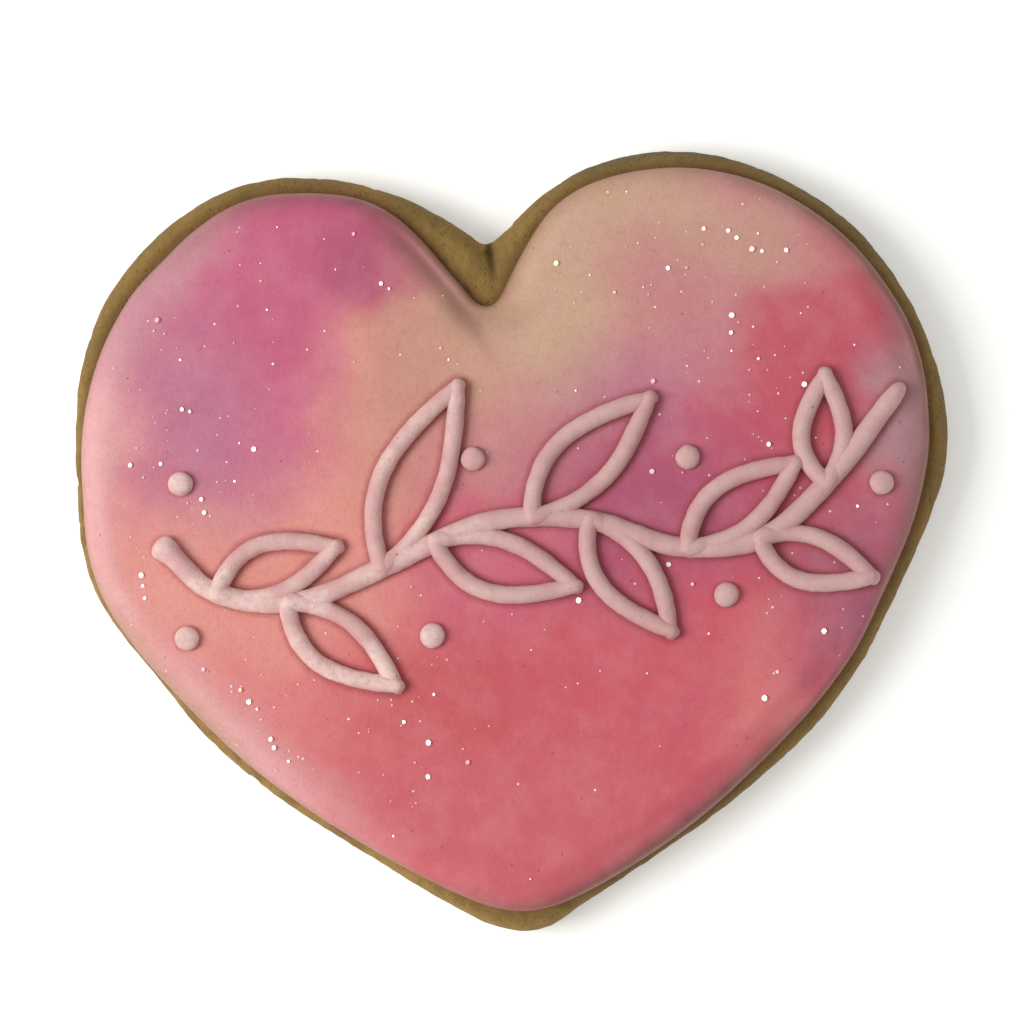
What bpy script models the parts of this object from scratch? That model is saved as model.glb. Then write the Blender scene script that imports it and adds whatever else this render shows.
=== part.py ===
"""Iced sugar biscuit in the shape of a heart, with a piped sprig on the icing.

Three layers lie on each other: the baked biscuit, a coat of flood icing that
stops short of the biscuit's edge, and the piping, which is a sprig of leaves
with a few loose dots beside it.

Frame: metres, +Z up. The biscuit lies flat on z = 0, the notch between the
heart's lobes points to +Y and the tip to -Y. The origin is under the middle
of the biscuit.
"""

import math

import bmesh
import bpy
import numpy as np

MM = 0.001
GAP = 0.3 * MM                  # left open between two layers that touch

# Biscuit: rolled dough, cut with a heart cutter and baked
BISCUIT_HEIGHT = 6.6 * MM
BISCUIT_EDGE_WIDTH = 2.4 * MM   # how far in the rounding of the top edge reaches
BISCUIT_EDGE_DROP = 2.9 * MM    # how far down it reaches
BISCUIT_FOOT = 0.7 * MM         # small rounding under the wall
FOOT_RINGS = 3                  # cross sections through the foot's rounding
EDGE_RINGS = 5                  # cross sections through the top edge's rounding

# Flood icing: one poured coat with a rounded shoulder
ICING_HEIGHT = 1.9 * MM
ICING_SHOULDER = 2.8 * MM       # how far in the shoulder reaches
SHOULDER_RINGS = 5
UNDERSIDE_INSETS = (2.4 * MM, 1.2 * MM, 0.5 * MM, 0.0)  # rings where it lies on the round edge

# Piping: one round nozzle for the sprig and the dots
LINE_WIDTH = 2.1 * MM
LEAF_LINE_WIDTH = 1.9 * MM      # the bag is moved faster round a leaf
LINE_HEIGHT = 1.5 * MM
LINE_STEP = 1.5 * MM            # spacing of the cross sections along a line
SECTION_POINTS = 7
SECTION_FOOT = 38.0             # degrees that the section's round goes on below its widest
CAP_ANGLES = (15.0, 45.0)       # degrees up the rounded end of a line, from its tip
DOT_DIAMETER = 2.5 * MM
DOT_SIDES = 12
DOT_FOOT = 30.0                 # degrees that the dome goes on below its widest
DOT_ANGLES = (-DOT_FOOT, 0.0, 30.0, 60.0, 82.0)

OUTLINE_STEPS = 120             # points around each heart outline
CURVE_SAMPLES = 40              # points on each stretch before it is spaced evenly
SHARP_ANGLE = 40.0              # degrees past which an edge is shaded sharp

# Heart of the biscuit, clockwise from the notch. Each bend is x and y in mm and the heading in
# degrees, 0 to the right and 90 upwards, and a nearly round stretch joins it to the next.
BISCUIT_BENDS = [
    (-0.8, 31.9, 2), (0.6, 32.6, 42),                                   # notch
    (6.0, 37.0, 33), (18.0, 40.1, -1), (35.6, 32.8, -40), (43.0, 22.3, -66),    # right lobe
    (45.9, 9.0, -92), (38.0, -10.3, -119), (32.5, -18.3, -132), (5.0, -37.6, -152),
    (-1.6, -40.4, 178),                                                 # tip
    (-10.0, -36.7, 147), (-28.2, -23.5, 141), (-39.2, -10.7, 125), (-45.0, -0.5, 107),
    (-45.9, 9.0, 90), (-40.4, 30.4, 52), (-22.0, 40.4, 0), (-2.6, 33.0, -39),   # left lobe
]

# Edge of the icing, in the same way. It dips deeper at the notch and stops short all round.
ICING_BENDS = [
    (-1.0, 24.9, 0), (1.1, 27.0, 61),                                   # notch
    (5.0, 33.0, 52), (18.0, 37.9, 0), (35.4, 30.5, -44), (41.7, 21.6, -63),     # right lobe
    (43.7, 9.0, -92), (36.0, -11.0, -119), (22.0, -26.0, -140), (5.0, -36.5, -156),
    (-1.5, -38.1, 178),                                                 # tip
    (-10.0, -35.0, 150), (-34.5, -15.4, 130), (-44.2, 0.0, 104),
    (-44.8, 9.5, 90), (-38.7, 28.3, 53), (-33.4, 33.4, 42), (-22.0, 38.3, 0),   # left lobe
    (-12.0, 36.4, -29), (-3.6, 27.2, -53),
]

# Stem of the sprig in mm, from its thick start at the left to its end
STEM = [
    (-36.3, 2.0), (-31.0, -3.0), (-22.5, -4.5), (-12.5, -1.2), (-2.5, 2.2),
    (7.5, 1.8), (17.0, -1.8), (25.5, -1.5), (33.2, 4.3), (40.6, 12.6),
]

# Leaves: place along the stem (0 to 1), side (+1 above), length and width in mm
LEAVES = [
    (0.08, 1, 13.0, 5.4), (0.17, -1, 14.0, 5.4), (0.29, 1, 20.0, 6.4),
    (0.37, -1, 15.0, 5.6), (0.48, 1, 17.0, 6.0), (0.56, -1, 14.0, 5.4),
    (0.67, 1, 14.0, 5.2), (0.75, -1, 12.0, 4.8), (0.87, 1, 11.0, 4.4),
]
LEAF_ANGLE = 50.0               # degrees between stem and leaf
LEAF_SWEEP = 0.12               # sideways bend of a leaf, of its length
LEAF_BELLY = 0.85               # under 1 puts the widest place nearer to the stem
LEAF_LIFT = 0.02 * MM           # keeps crossing lines from sharing a flat underside

# Loose dots: x, y in mm
DOTS = [
    (-34.5, -7.5), (-34.0, 8.5), (-9.0, -9.0), (-3.6, 8.8), (18.6, 7.4), (21.4, -7.0),
    (38.2, 3.2),
]


def clear_scene():
    """Remove every object that the opened scene holds."""
    for item in list(bpy.data.objects):
        bpy.data.objects.remove(item, do_unlink=True)


def make_material(name, colour, roughness):
    """Return a Principled material of a plain colour."""
    material = bpy.data.materials.new(name)
    material.use_nodes = True
    shader = material.node_tree.nodes["Principled BSDF"]
    shader.inputs["Base Color"].default_value = (*colour, 1.0)
    shader.inputs["Roughness"].default_value = roughness
    shader.inputs["Metallic"].default_value = 0.0
    material.diffuse_color = (*colour, 1.0)
    return material


def add_object(name, mesh, material):
    """Put a mesh into the scene as a named object with one material."""
    mesh.materials.append(material)
    item = bpy.data.objects.new(name, mesh)
    bpy.context.scene.collection.objects.link(item)
    return item


def direction(degrees):
    """Return the flat unit vector of a heading."""
    return np.array([math.cos(math.radians(degrees)), math.sin(math.radians(degrees))])


def heart_curve(bends, count):
    """Return count evenly spaced points of the closed curve through bends.

    A cubic joins each bend to the next. Its handles are a third of the chord, over the squared
    cosine of a quarter of the turn, which makes it very nearly an arc.
    """
    t = np.linspace(0.0, 1.0, CURVE_SAMPLES, endpoint=False)[:, None]
    stretches = []
    for here, there in zip(bends, bends[1:] + bends[:1]):
        start = np.array(here[:2]) * MM
        end = np.array(there[:2]) * MM
        turn = math.radians((there[2] - here[2] + 180.0) % 360.0 - 180.0)
        reach = np.linalg.norm(end - start) / (3.0 * math.cos(turn / 4.0) ** 2)
        leaving = start + reach * direction(here[2])
        arriving = end - reach * direction(there[2])
        stretches.append((1 - t) ** 3 * start + 3 * (1 - t) ** 2 * t * leaving
                         + 3 * (1 - t) * t**2 * arriving + t**3 * end)
    dense = np.vstack(stretches + [stretches[0][:1]])
    return resample(dense, count + 1)[:-1]


def open_curve(points_mm, step):
    """Return points about a step apart on the Catmull-Rom curve through points."""
    points = np.array(points_mm) * MM
    padded = np.vstack([2 * points[0] - points[1], points, 2 * points[-1] - points[-2]])
    t = np.linspace(0.0, 1.0, CURVE_SAMPLES, endpoint=False)[:, None]
    dense = []
    for i in range(len(points) - 1):
        a, b, c, d = padded[i:i + 4]
        dense.append(0.5 * (2 * b + (c - a) * t + (2 * a - 5 * b + 4 * c - d) * t**2
                            + (3 * b - 3 * c + d - a) * t**3))
    dense = np.vstack(dense + [points[-1:]])
    length = np.linalg.norm(np.diff(dense, axis=0), axis=1).sum()
    return resample(dense, round(length / step) + 1)


def resample(line, count):
    """Return count points evenly spaced along a line."""
    lengths = np.linalg.norm(np.diff(line, axis=0), axis=1)
    along = np.concatenate([[0.0], np.cumsum(lengths)])
    wanted = np.linspace(0.0, along[-1], count)
    return np.column_stack([np.interp(wanted, along, line[:, k]) for k in range(2)])


def inset_ring(loop, inset, heights):
    """Move a clockwise loop inwards by inset and give it its heights."""
    tangent = np.roll(loop, -1, axis=0) - np.roll(loop, 1, axis=0)
    tangent /= np.linalg.norm(tangent, axis=1)[:, None]
    inward = np.column_stack([tangent[:, 1], -tangent[:, 0]])
    return np.column_stack([loop + inward * inset, np.broadcast_to(heights, len(loop))])


def distance_to_loop(points, loop):
    """Return each point's distance to a finely sampled loop."""
    offsets = points[:, None, :] - loop[None, :, :]
    return np.linalg.norm(offsets, axis=2).min(axis=1)


def ring_solid(name, rings, material):
    """Skin closed rings, listed from the bottom to the top, and cap both ends."""
    bm = bmesh.new()
    loops = [[bm.verts.new(point) for point in ring] for ring in rings]
    count = len(loops[0])
    for lower, upper in zip(loops, loops[1:]):
        for i in range(count):
            k = (i + 1) % count
            bm.faces.new((lower[k], lower[i], upper[i], upper[k]))
    bm.faces.new(loops[0])
    bm.faces.new(reversed(loops[-1]))
    mesh = bpy.data.meshes.new(name)
    bmesh.ops.recalc_face_normals(bm, faces=bm.faces)
    bm.to_mesh(mesh)
    bm.free()
    mesh.shade_smooth()
    mesh.set_sharp_from_angle(angle=math.radians(SHARP_ANGLE))
    return add_object(name, mesh, material)


def biscuit_top(inset):
    """Return the height of the biscuit's upper side at a distance from its outline.

    A quarter of an ellipse rounds the edge, and the rest is flat.
    """
    across = np.clip(1.0 - inset / BISCUIT_EDGE_WIDTH, 0.0, 1.0)
    return BISCUIT_HEIGHT - BISCUIT_EDGE_DROP * (1.0 - np.sqrt(1.0 - across**2))


def build_biscuit(material):
    """Build the baked heart: flat foot, upright wall and rounded upper edge."""
    loop = heart_curve(BISCUIT_BENDS, OUTLINE_STEPS)
    rings = []
    for angle in np.linspace(0.0, math.pi / 2.0, FOOT_RINGS):
        inset = BISCUIT_FOOT * (1.0 - math.sin(angle))
        rings.append(inset_ring(loop, inset, BISCUIT_FOOT * (1.0 - math.cos(angle))))
    for angle in np.linspace(0.0, math.pi / 2.0, EDGE_RINGS):
        inset = BISCUIT_EDGE_WIDTH * (1.0 - math.cos(angle))
        rings.append(inset_ring(loop, inset, biscuit_top(inset)))
    return ring_solid("biscuit", rings, material)


def build_icing(material):
    """Build the coat: its underside follows the biscuit, its shoulder is rounded."""
    edge = heart_curve(BISCUIT_BENDS, 12 * OUTLINE_STEPS)
    loop = heart_curve(ICING_BENDS, OUTLINE_STEPS)
    top = BISCUIT_HEIGHT + GAP + ICING_HEIGHT
    rings = []
    for inset in UNDERSIDE_INSETS:
        ring = inset_ring(loop, inset, 0.0)
        ring[:, 2] = biscuit_top(distance_to_loop(ring[:, :2], edge)) + GAP
        rings.append(ring)
    foot = rings[-1][:, 2]
    for angle in np.linspace(0.0, math.pi / 2.0, SHOULDER_RINGS + 1)[1:]:
        inset = ICING_SHOULDER * (1.0 - math.cos(angle))
        rings.append(inset_ring(loop, inset, foot + (top - foot) * math.sin(angle)))
    return ring_solid("flood_icing", rings, material)


def line_section(width, height):
    """Return the cross section of a piped line: flat below, round above."""
    angles = np.radians(np.linspace(-SECTION_FOOT, 180.0 + SECTION_FOOT, SECTION_POINTS))
    below = math.sin(math.radians(SECTION_FOOT))
    above = height * (np.sin(angles) + below) / (1.0 + below)
    return np.column_stack([width / 2.0 * np.cos(angles), above])


def stroke_mesh(name, route, base, width):
    """Sweep the piped section along a flat route, with a rounded end on each side."""
    section = line_section(width, LINE_HEIGHT)
    heading = np.gradient(route, axis=0)
    heading /= np.linalg.norm(heading, axis=1)[:, None]
    caps = [(math.cos(angle) * width / 2.0, math.sin(angle)) for angle in np.radians(CAP_ANGLES)]
    stations = [(route[0] - heading[0] * back, heading[0], size) for back, size in caps]
    stations += [(point, ahead, 1.0) for point, ahead in zip(route, heading)]
    stations += [(route[-1] + heading[-1] * back, heading[-1], size)
                 for back, size in reversed(caps)]
    bm = bmesh.new()
    loops = []
    for point, ahead, size in stations:
        aside = np.array([ahead[1], -ahead[0]])
        loops.append([bm.verts.new((*(point + aside * across * size), base + above * size))
                      for across, above in section])
    count = len(section)
    for near, far in zip(loops, loops[1:]):
        for i in range(count):
            k = (i + 1) % count
            bm.faces.new((near[i], near[k], far[k], far[i]))
    bm.faces.new(loops[0])
    bm.faces.new(reversed(loops[-1]))
    bmesh.ops.recalc_face_normals(bm, faces=bm.faces)
    mesh = bpy.data.meshes.new(name)
    bm.to_mesh(mesh)
    bm.free()
    return mesh


def leaf_routes(stem, place, side, length, width):
    """Return the two bowed lines of a leaf, which start on the stem and meet at its point."""
    index = round(place * (len(stem) - 1))
    start = stem[index]
    heading = stem[index + 1] - stem[index - 1]
    ahead = direction(math.degrees(math.atan2(heading[1], heading[0])) + side * LEAF_ANGLE)
    aside = np.array([-ahead[1], ahead[0]])
    t = np.linspace(0.0, 1.0, max(5, round(length * MM / LINE_STEP)))[:, None]
    spine = start + ahead * length * MM * t - aside * side * LEAF_SWEEP * length * MM * t**2
    bow = aside * width * MM / 2.0 * np.sin(math.pi * t**LEAF_BELLY)
    return [spine + bow, spine - bow]


def build_sprig(material):
    """Build the stem and leaves, piped in one go, as one body."""
    base = BISCUIT_HEIGHT + ICING_HEIGHT + 2.0 * GAP
    stem = open_curve(STEM, LINE_STEP)
    sprig = add_object("piped_sprig", stroke_mesh("piped_sprig", stem, base, LINE_WIDTH), material)
    number = 0
    for place, side, length, width in LEAVES:
        for route in leaf_routes(stem, place, side, length, width):
            number += 1
            lift = (1 + number % 2) * LEAF_LIFT
            name = f"leaf_line_{number}"
            mesh = stroke_mesh(name, route, base + lift, LEAF_LINE_WIDTH)
            line = add_object(name, mesh, material)
            line.hide_render = True
            line.display_type = "WIRE"
            union = sprig.modifiers.new(f"join {name}", "BOOLEAN")
            union.operation = "UNION"
            union.solver = "EXACT"
            union.object = line
    return sprig


def build_dots(material):
    """Build the loose piped dots, each a low dome."""
    base = BISCUIT_HEIGHT + ICING_HEIGHT + 2.0 * GAP
    radius = DOT_DIAMETER / 2.0
    around = np.linspace(0.0, -2.0 * math.pi, DOT_SIDES, endpoint=False)
    below = math.sin(math.radians(DOT_FOOT))
    for number, (x, y) in enumerate(DOTS, start=1):
        rings = []
        for angle in np.radians(DOT_ANGLES):
            ring = np.column_stack([np.cos(around), np.sin(around)]) * radius * math.cos(angle)
            height = base + LINE_HEIGHT * (math.sin(angle) + below) / (1.0 + below)
            rings.append(np.column_stack([ring + np.array([x, y]) * MM,
                                          np.full(DOT_SIDES, height)]))
        ring_solid(f"piped_dot_{number}", rings, material)


def main():
    """Build the four kinds of pieces."""
    clear_scene()
    baked = make_material("baked biscuit", (0.36, 0.22, 0.09), 0.85)
    coat = make_material("washed flood icing", (0.72, 0.25, 0.30), 0.5)
    piping = make_material("pale piped icing", (0.78, 0.60, 0.58), 0.6)
    build_biscuit(baked)
    build_icing(coat)
    build_sprig(piping)
    build_dots(piping)


main()
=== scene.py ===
"""Looks of an iced sugar cookie: baked biscuit, washed flood icing, piped sprig, glitter.

Sizes in the classes are millimetres, and MM turns them into metres where a mesh or a shader is
made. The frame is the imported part's own: +Z up, the biscuit flat on z = 0, the notch to +Y.
"""

import itertools
import logging
import math
from dataclasses import dataclass, field
from enum import Enum
from typing import Callable, Union

import bpy
import numpy as np
from mathutils import Matrix, Vector


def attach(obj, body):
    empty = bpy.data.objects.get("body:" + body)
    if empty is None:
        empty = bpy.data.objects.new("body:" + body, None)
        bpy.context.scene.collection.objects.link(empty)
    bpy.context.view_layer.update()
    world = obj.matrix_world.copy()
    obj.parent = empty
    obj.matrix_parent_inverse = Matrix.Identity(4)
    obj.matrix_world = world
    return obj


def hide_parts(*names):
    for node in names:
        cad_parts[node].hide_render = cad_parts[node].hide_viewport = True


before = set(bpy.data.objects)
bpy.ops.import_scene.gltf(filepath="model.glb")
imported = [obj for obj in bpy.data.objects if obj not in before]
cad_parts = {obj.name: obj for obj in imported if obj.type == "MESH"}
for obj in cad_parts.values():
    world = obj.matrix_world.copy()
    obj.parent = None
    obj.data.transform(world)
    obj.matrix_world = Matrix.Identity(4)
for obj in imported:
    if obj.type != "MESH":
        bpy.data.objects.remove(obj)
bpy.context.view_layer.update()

MM = 0.001
LOG = logging.getLogger("iced_cookie")

Colour = tuple[float, float, float]
Point = tuple[float, float]
Bend = tuple[float, float, float]
FlatMap = Callable[[np.ndarray], np.ndarray]

OUTLINE_STEPS = 720             # columns of the two heart-shaped grids
OUTLINE_SAMPLES = 1800          # points on an outline that distances are measured to
CHUNK = 4096                    # points measured at a time
DRAWS = 8192                    # random values behind a lattice noise
PRIMES = (73856093, 19349663, 83492791)   # spread a lattice corner's x, y and z over the draws
KEY_DIRECTION = (-0.66, -0.02, 0.72)   # from the cookie towards the soft key light


# ---------------------------------------------------------------------------------------------
# Numbers on whole arrays
# ---------------------------------------------------------------------------------------------

def srgb(red: float, green: float, blue: float) -> Colour:
    """Turn screen steps from 0 to 255 into linear light from 0 to 1.

    Args:
        red: Red step.
        green: Green step.
        blue: Blue step.

    Returns:
        The colour that a shader's socket takes.
    """
    steps = np.array([red, green, blue]) / 255.0
    curved = ((steps + 0.055) / 1.055) ** 2.4
    return tuple(np.where(steps <= 0.04045, steps / 12.92, curved).tolist())


def ease(value: np.ndarray, low: float, high: float) -> np.ndarray:
    """Rise from 0 at low to 1 at high along 3t squared minus 2t cubed, for arrays.

    Args:
        value: The numbers to ease.
        low: Where the rise starts.
        high: Where it ends.

    Returns:
        Numbers from 0 to 1.
    """
    t = np.clip((value - low) / (high - low), 0.0, 1.0)
    return t * t * (3.0 - 2.0 * t)


@dataclass(frozen=True)
class LatticeNoise:
    """Smooth seeded noise from -1 to 1 that is a function of a place in space.

    Attributes:
        seed: Picks the random values.
        cell: Edge of a lattice cell in mm, about the size of one bump.
    """

    seed: int
    cell: float

    def __call__(self, places: np.ndarray) -> np.ndarray:
        """Blend the random values at the eight corners of the cell that holds each place.

        A corner's weight is the product over the axes of 6t^5 - 15t^4 + 10t^3, or of 1 minus it.

        Args:
            places: Points in mm, the last axis holding x, y and z.

        Returns:
            One number for each point.
        """
        table = np.random.default_rng(self.seed).uniform(-1.0, 1.0, DRAWS)
        grid = places / self.cell + 0.37
        base = np.floor(grid).astype(np.int64)
        part = grid - base
        part = part**3 * (part * (part * 6.0 - 15.0) + 10.0)
        total = np.zeros(places.shape[:-1])
        for corner in itertools.product((0, 1), repeat=3):
            at = base + np.array(corner)
            index = (at[..., 0] * PRIMES[0]) ^ (at[..., 1] * PRIMES[1]) ^ (at[..., 2] * PRIMES[2])
            weight = np.prod(np.where(np.array(corner) == 1, part, 1.0 - part), axis=-1)
            total += weight * table[index % len(table)]
        return total


def nearest(places: np.ndarray, targets: np.ndarray) -> np.ndarray:
    """Return how far each flat place is from the nearest target.

    The square of the distance is a.a + b.b - 2 a.b, worked out for a few thousand at a time.

    Args:
        places: Points in mm, the last axis holding x and y.
        targets: Rows of x and y in mm.

    Returns:
        Distances in mm, shaped as the places.
    """
    flat = places.reshape(-1, 2)
    found = np.empty(len(flat))
    for start in range(0, len(flat), CHUNK):
        part = flat[start:start + CHUNK]
        square = (part**2).sum(axis=1)[:, None] + (targets**2).sum(axis=1) - 2.0 * part @ targets.T
        found[start:start + CHUNK] = square.min(axis=1)
    return np.sqrt(np.maximum(found, 0.0)).reshape(places.shape[:-1])


def raised(flat: np.ndarray, rise: np.ndarray | float) -> np.ndarray:
    """Give flat points their heights.

    Args:
        flat: Points, the last axis holding x and y.
        rise: Their heights, in any shape that spreads over the points.

    Returns:
        Points whose last axis holds x, y and z.
    """
    return np.concatenate([flat, np.broadcast_to(rise, flat.shape[:-1])[..., None]], axis=-1)


def flat_noise(noise: LatticeNoise, places: np.ndarray) -> np.ndarray:
    """Read a noise at flat points, on the plane z = 0."""
    return noise(raised(places, 0.0))


@dataclass(frozen=True)
class Outline:
    """A closed smooth outline through given bends, star-shaped round the origin.

    Attributes:
        bends: Clockwise from the notch, each x and y in mm and the heading there in degrees, 0
            to the right and 90 upwards.
    """

    bends: tuple[Bend, ...]

    def loop(self, count: int) -> np.ndarray:
        """Return points anticlockwise from the notch, where they lie closer than elsewhere.

        A cubic joins each bend to the next. Its handles are a third of the chord, over the
        squared cosine of a quarter of the turn, which makes it very nearly an arc.

        Args:
            count: How many points.

        Returns:
            An array of count rows with x and y in mm.
        """
        rows = np.array(self.bends)
        start, heading = rows[:, :2], np.radians(rows[:, 2])
        end, arriving = np.roll(start, -1, axis=0), np.roll(heading, -1)
        turn = (arriving - heading + math.pi) % (2.0 * math.pi) - math.pi
        reach = np.linalg.norm(end - start, axis=1) / (3.0 * np.cos(turn / 4.0) ** 2)
        ahead = np.column_stack([np.cos(heading), np.sin(heading)])
        first = start + reach[:, None] * ahead
        second = end - reach[:, None] * np.roll(ahead, -1, axis=0)
        t = np.linspace(0.0, 1.0, 80, endpoint=False)[None, :, None]
        curve = (1 - t) ** 3 * start[:, None] + 3 * (1 - t) ** 2 * t * first[:, None]
        curve += 3 * (1 - t) * t**2 * second[:, None] + t**3 * end[:, None]
        line = np.vstack([curve.reshape(-1, 2), start[:1]])
        notch = np.linalg.norm(line[1:] - line[0], axis=1)
        steps = np.linalg.norm(np.diff(line, axis=0), axis=1)
        along = np.concatenate([[0.0], np.cumsum(steps * (1.0 + 7.0 * np.exp(-notch / 2.0)))])
        wanted = np.linspace(0.0, along[-1], count + 1)[:-1]
        return np.column_stack([np.interp(wanted, along, line[:, k]) for k in range(2)])[::-1]

    def distance(self, places: np.ndarray) -> np.ndarray:
        """Return how far flat points are from the outline, by the nearest of many points on it."""
        return nearest(places, self.loop(OUTLINE_SAMPLES))

    def inside(self, places: np.ndarray) -> np.ndarray:
        """Say which flat points lie inside: nearer the origin than the outline is that way."""
        loop = self.loop(OUTLINE_SAMPLES)
        bearing = np.arctan2(loop[:, 1], loop[:, 0])
        order = np.argsort(bearing)
        reach = np.interp(np.arctan2(places[..., 1], places[..., 0]), bearing[order],
                          np.linalg.norm(loop, axis=1)[order], period=2.0 * math.pi)
        return np.linalg.norm(places, axis=-1) < reach


def heart_rings(loop: np.ndarray, insets: np.ndarray, shares: np.ndarray) -> np.ndarray:
    """Lay rings inside an outline, from the edge to the middle.

    The first rings are the outline moved inwards along its normals by each inset. The others are
    the last of those, shrunk towards the origin by each share.

    Args:
        loop: Anticlockwise outline in mm.
        insets: Distances from the outline in mm, from the edge inwards.
        shares: Scales between 1 and 0, falling.

    Returns:
        An array of rings, columns and x, y.
    """
    tangent = np.roll(loop, -1, axis=0) - np.roll(loop, 1, axis=0)
    tangent /= np.linalg.norm(tangent, axis=1)[:, None]
    inward = np.column_stack([-tangent[:, 1], tangent[:, 0]])
    near = loop + inward * insets[:, None, None]
    return np.concatenate([near, near[-1] * shares[:, None, None]])


def ring_normals(grid: np.ndarray) -> np.ndarray:
    """Return the outward unit normals of a grid of rings, from its neighbours' differences."""
    around = np.roll(grid, -1, axis=1) - np.roll(grid, 1, axis=1)
    normals = np.cross(around, np.gradient(grid, axis=0))
    return normals / np.maximum(np.linalg.norm(normals, axis=-1, keepdims=True), 1e-9)


# ---------------------------------------------------------------------------------------------
# Meshes
# ---------------------------------------------------------------------------------------------

class MeshDraft:
    """Points, faces and point marks of one piece, gathered as whole arrays in mm."""

    def __init__(self) -> None:
        """Start with nothing."""
        self.points: list[np.ndarray] = []
        self.faces: list[np.ndarray] = []
        self.marks: dict[str, list[np.ndarray]] = {}
        self.count = 0

    def add(self, points: np.ndarray, faces: list[np.ndarray], **marks: np.ndarray) -> None:
        """Add points and the faces between them.

        Args:
            points: Rows of x, y and z in mm.
            faces: Arrays of corner numbers, each array holding faces with the same corner count.
            **marks: One number or one colour for each point, by the attribute's name.
        """
        self.faces += [corners + self.count for corners in faces]
        self.points.append(points)
        self.count += len(points)
        for name, values in marks.items():
            self.marks.setdefault(name, []).append(values)

    def add_rings(self, grid: np.ndarray, **marks: np.ndarray) -> None:
        """Add a closed skin over rings whose columns wrap round, with a pole at each end.

        Seen from outside, the columns run anticlockwise round the way from the first ring to the
        last. A pole is the middle of its ring.

        Args:
            grid: Rings, columns and x, y, z in mm.
            **marks: One number for each grid point, by the attribute's name.
        """
        rings, columns = grid.shape[:2]
        index = np.arange(rings * columns).reshape(rings, columns)
        right = np.roll(index, -1, axis=1)
        quads = np.stack([index[:-1], right[:-1], right[1:], index[1:]], axis=-1).reshape(-1, 4)
        first, last = np.full(columns, rings * columns), np.full(columns, rings * columns + 1)
        caps = [np.column_stack([right[0], index[0], first]),
                np.column_stack([index[-1], right[-1], last])]
        poles = [grid[0].mean(axis=0), grid[-1].mean(axis=0)]
        spread = {name: np.concatenate([values.reshape(-1), [values[0].mean(), values[-1].mean()]])
                  for name, values in marks.items()}
        self.add(np.vstack([grid.reshape(-1, 3), poles]), [quads] + caps, **spread)

    def piece(self, name: str, slot: str, material: bpy.types.Material,
              replaced: tuple[str, ...] = (), smooth: bool = True) -> bpy.types.Object:
        """Make the object in metres, dress it, put it on the root body, and hide the solids it
        replaces.

        Args:
            name: The piece's name.
            slot: The record's material slot it stands for; not used.
            material: What it is dressed in.
            replaced: The solids that aren't shown because of it.
            smooth: Whether its faces are shaded smooth.

        Returns:
            The piece, on the body "root".
        """
        mesh = bpy.data.meshes.new(name)
        mesh.vertices.add(self.count)
        mesh.vertices.foreach_set("co", (np.vstack(self.points) * MM).astype(np.float32).ravel())
        corners = np.concatenate([part.ravel() for part in self.faces])
        sizes = np.concatenate([np.full(len(part), part.shape[1]) for part in self.faces])
        mesh.loops.add(len(corners))
        mesh.loops.foreach_set("vertex_index", corners.astype(np.int32))
        mesh.polygons.add(len(sizes))
        starts = np.concatenate([[0], np.cumsum(sizes)[:-1]])
        mesh.polygons.foreach_set("loop_start", starts.astype(np.int32))
        mesh.update(calc_edges=True)
        for mark, parts in self.marks.items():
            values = np.concatenate(parts)
            kind, key = ("FLOAT", "value") if values.ndim == 1 else ("FLOAT_COLOR", "color")
            layer = mesh.attributes.new(mark, kind, "POINT")
            layer.data.foreach_set(key, values.astype(np.float32).ravel())
        if smooth:
            mesh.shade_smooth()
        else:
            mesh.shade_flat()
        mesh.materials.append(material)
        made = bpy.data.objects.new(name, mesh)
        bpy.context.scene.collection.objects.link(made)
        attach(made, "root")
        if replaced:
            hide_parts(*replaced)
        return made


# ---------------------------------------------------------------------------------------------
# Shader maths
# ---------------------------------------------------------------------------------------------

Number = Union["Value", float]


class Value:
    """A number socket that Python's operators work on, each adding one Math node."""

    def __init__(self, graph: "Graph", socket: bpy.types.NodeSocket) -> None:
        """Wrap a socket of a graph."""
        self.graph = graph
        self.socket = socket

    def __add__(self, other: Number) -> "Value":
        """Add."""
        return self.graph.math("ADD", self, other)

    def __radd__(self, other: Number) -> "Value":
        """Add, reflected."""
        return self.graph.math("ADD", other, self)

    def __sub__(self, other: Number) -> "Value":
        """Subtract."""
        return self.graph.math("SUBTRACT", self, other)

    def __rsub__(self, other: Number) -> "Value":
        """Subtract, reflected."""
        return self.graph.math("SUBTRACT", other, self)

    def __mul__(self, other: Number) -> "Value":
        """Multiply."""
        return self.graph.math("MULTIPLY", self, other)

    def __rmul__(self, other: Number) -> "Value":
        """Multiply, reflected."""
        return self.graph.math("MULTIPLY", other, self)


Paint = Union[Colour, bpy.types.NodeSocket]


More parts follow.
